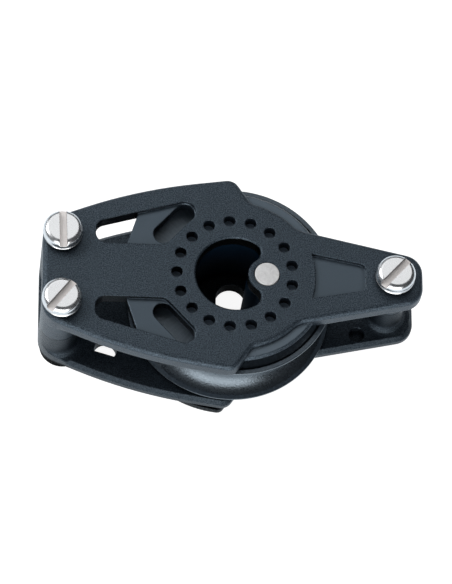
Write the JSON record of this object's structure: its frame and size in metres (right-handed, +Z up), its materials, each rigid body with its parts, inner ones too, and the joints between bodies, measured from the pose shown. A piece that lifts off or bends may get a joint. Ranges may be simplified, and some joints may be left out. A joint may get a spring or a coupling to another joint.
{
  "type": "foot block",
  "caption": "Flat sailing foot block: a ball-bearing rope sheave between two moulded side plates with screw posts.",
  "frame": {"origin": "on the sheave's axis, in the plane that the feet and the seat ring stand on", "axes": "+X to the single-screw end, +Y to the far side, +Z up through the plates"},
  "size_m": [0.0754, 0.0416, 0.0248],
  "materials": {
    "moulded_plate": "fine-grained moulded fibre-filled nylon, slate black",
    "hub": "smooth moulded black plastic",
    "sheave": "smooth semi-matte black acetal",
    "ball": "smooth pale acetal",
    "rivet": "matte anodised aluminium",
    "screw": "bright satin stainless steel"
  },
  "bodies": {
    "frame": {"top_plate": "moulded_plate", "bottom_plate": "moulded_plate", "hub": "hub", "rivet": "rivet", "screw_left_far": "screw", "screw_left_near": "screw", "screw_right": "screw"},
    "sheave": {"sheave": "sheave"},
    "ball_set": {"ball_upper_01": "ball", "ball_upper_02": "ball", "ball_upper_03": "ball", "ball_upper_04": "ball", "ball_upper_05": "ball", "ball_upper_06": "ball", "ball_upper_07": "ball", "ball_upper_08": "ball", "ball_upper_09": "ball", "ball_upper_10": "ball", "ball_upper_11": "ball", "ball_upper_12": "ball", "ball_upper_13": "ball", "ball_upper_14": "ball", "ball_upper_15": "ball", "ball_upper_16": "ball", "ball_upper_17": "ball", "ball_lower_01": "ball", "ball_lower_02": "ball", "ball_lower_03": "ball", "ball_lower_04": "ball", "ball_lower_05": "ball", "ball_lower_06": "ball", "ball_lower_07": "ball", "ball_lower_08": "ball", "ball_lower_09": "ball", "ball_lower_10": "ball", "ball_lower_11": "ball", "ball_lower_12": "ball", "ball_lower_13": "ball", "ball_lower_14": "ball", "ball_lower_15": "ball", "ball_lower_16": "ball", "ball_lower_17": "ball"}
  },
  "joints": [
    {"name": "sheave_spin", "type": "hinge", "parent": "frame", "child": "sheave", "pos_m": [0, 0, 0.0115], "axis": [0, 0, 1], "continuous": true},
    {"name": "ball_roll", "type": "hinge", "parent": "frame", "child": "ball_set", "pos_m": [0, 0, 0.0115], "axis": [0, 0, 1], "continuous": true}
  ],
  "couplings": [
    {"joint": "ball_roll", "follows": "sheave_spin", "ratio": 0.5868}
  ]
}
